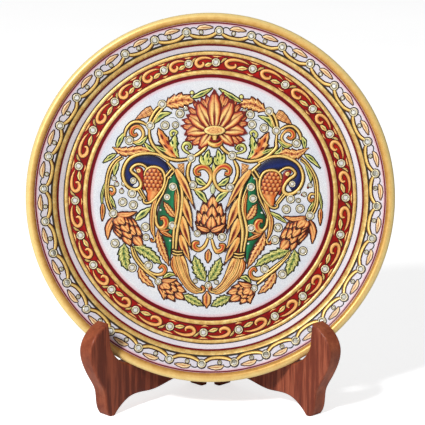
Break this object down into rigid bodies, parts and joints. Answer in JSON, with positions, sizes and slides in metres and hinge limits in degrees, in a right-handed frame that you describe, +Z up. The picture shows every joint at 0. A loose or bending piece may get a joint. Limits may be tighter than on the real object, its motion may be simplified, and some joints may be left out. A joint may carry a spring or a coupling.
{
  "type": "china display plate on folding stand",
  "caption": "Round china display plate with a rolled gilt rim, raised painted peacock and lotus medallion and set stones, leaning on a folding wooden stand.",
  "frame": {"origin": "at table height under the middle of the whole object's box, with the plate on the open stand", "axes": "+Z up, the plate faces -Y, +X to the right of a viewer in front"},
  "size_m": [0.254, 0.091, 0.2686],
  "materials": {
    "glazed_china": "glossy glaze over a hand-painted ground",
    "gilded_relief": "raised paste gilded with satin gold",
    "red_enamel": "glossy red enamel",
    "clear_stone": "faceted, foil-backed",
    "stained_wood": "dark red-brown stain, satin varnish, grain along the height",
    "hinge_brass": "rolled sheet brass, lightly tarnished"
  },
  "bodies": {
    "hinge_pins": {"lower_hinge_pin": "hinge_brass", "upper_hinge_pin": "hinge_brass"},
    "left_leg": {"left_stand_board": "stained_wood", "lower_hinge_left_leaf": "hinge_brass", "upper_hinge_left_leaf": "hinge_brass", "left_hinge_screws": "hinge_brass"},
    "right_leg": {"right_stand_board": "stained_wood", "lower_hinge_right_leaf": "hinge_brass", "upper_hinge_right_leaf": "hinge_brass", "right_hinge_screws": "hinge_brass"},
    "plate": {"plate_body": "glazed_china", "wall_gold_ring": "gilded_relief", "outer_well_gold_ring": "gilded_relief", "inner_well_gold_ring": "gilded_relief", "red_enamel_band": "red_enamel", "border_collars": "gilded_relief", "border_accent_collars": "gilded_relief", "red_band_collars": "gilded_relief", "medallion_collars": "gilded_relief", "border_stones": "clear_stone", "border_accent_stones": "clear_stone", "red_band_stones": "clear_stone", "medallion_stones": "clear_stone"}
  },
  "joints": [
    {"name": "plate_lift", "type": "slide", "parent": "hinge_pins", "child": "plate", "axis": [0, 0, 1], "range_m": [0, 0.2]},
    {"name": "left_fold", "type": "hinge", "parent": "hinge_pins", "child": "left_leg", "pos_m": [0, 0.0369, 0], "axis": [0, 0, 1], "range_deg": [0, 44]},
    {"name": "right_fold", "type": "hinge", "parent": "hinge_pins", "child": "right_leg", "pos_m": [0, 0.0369, 0], "axis": [0, 0, 1], "range_deg": [-44, 0]}
  ],
  "couplings": [
    {"joint": "left_fold", "follows": "plate_lift", "rad_per_m": 3.8397},
    {"joint": "right_fold", "follows": "plate_lift", "rad_per_m": -3.8397}
  ]
}
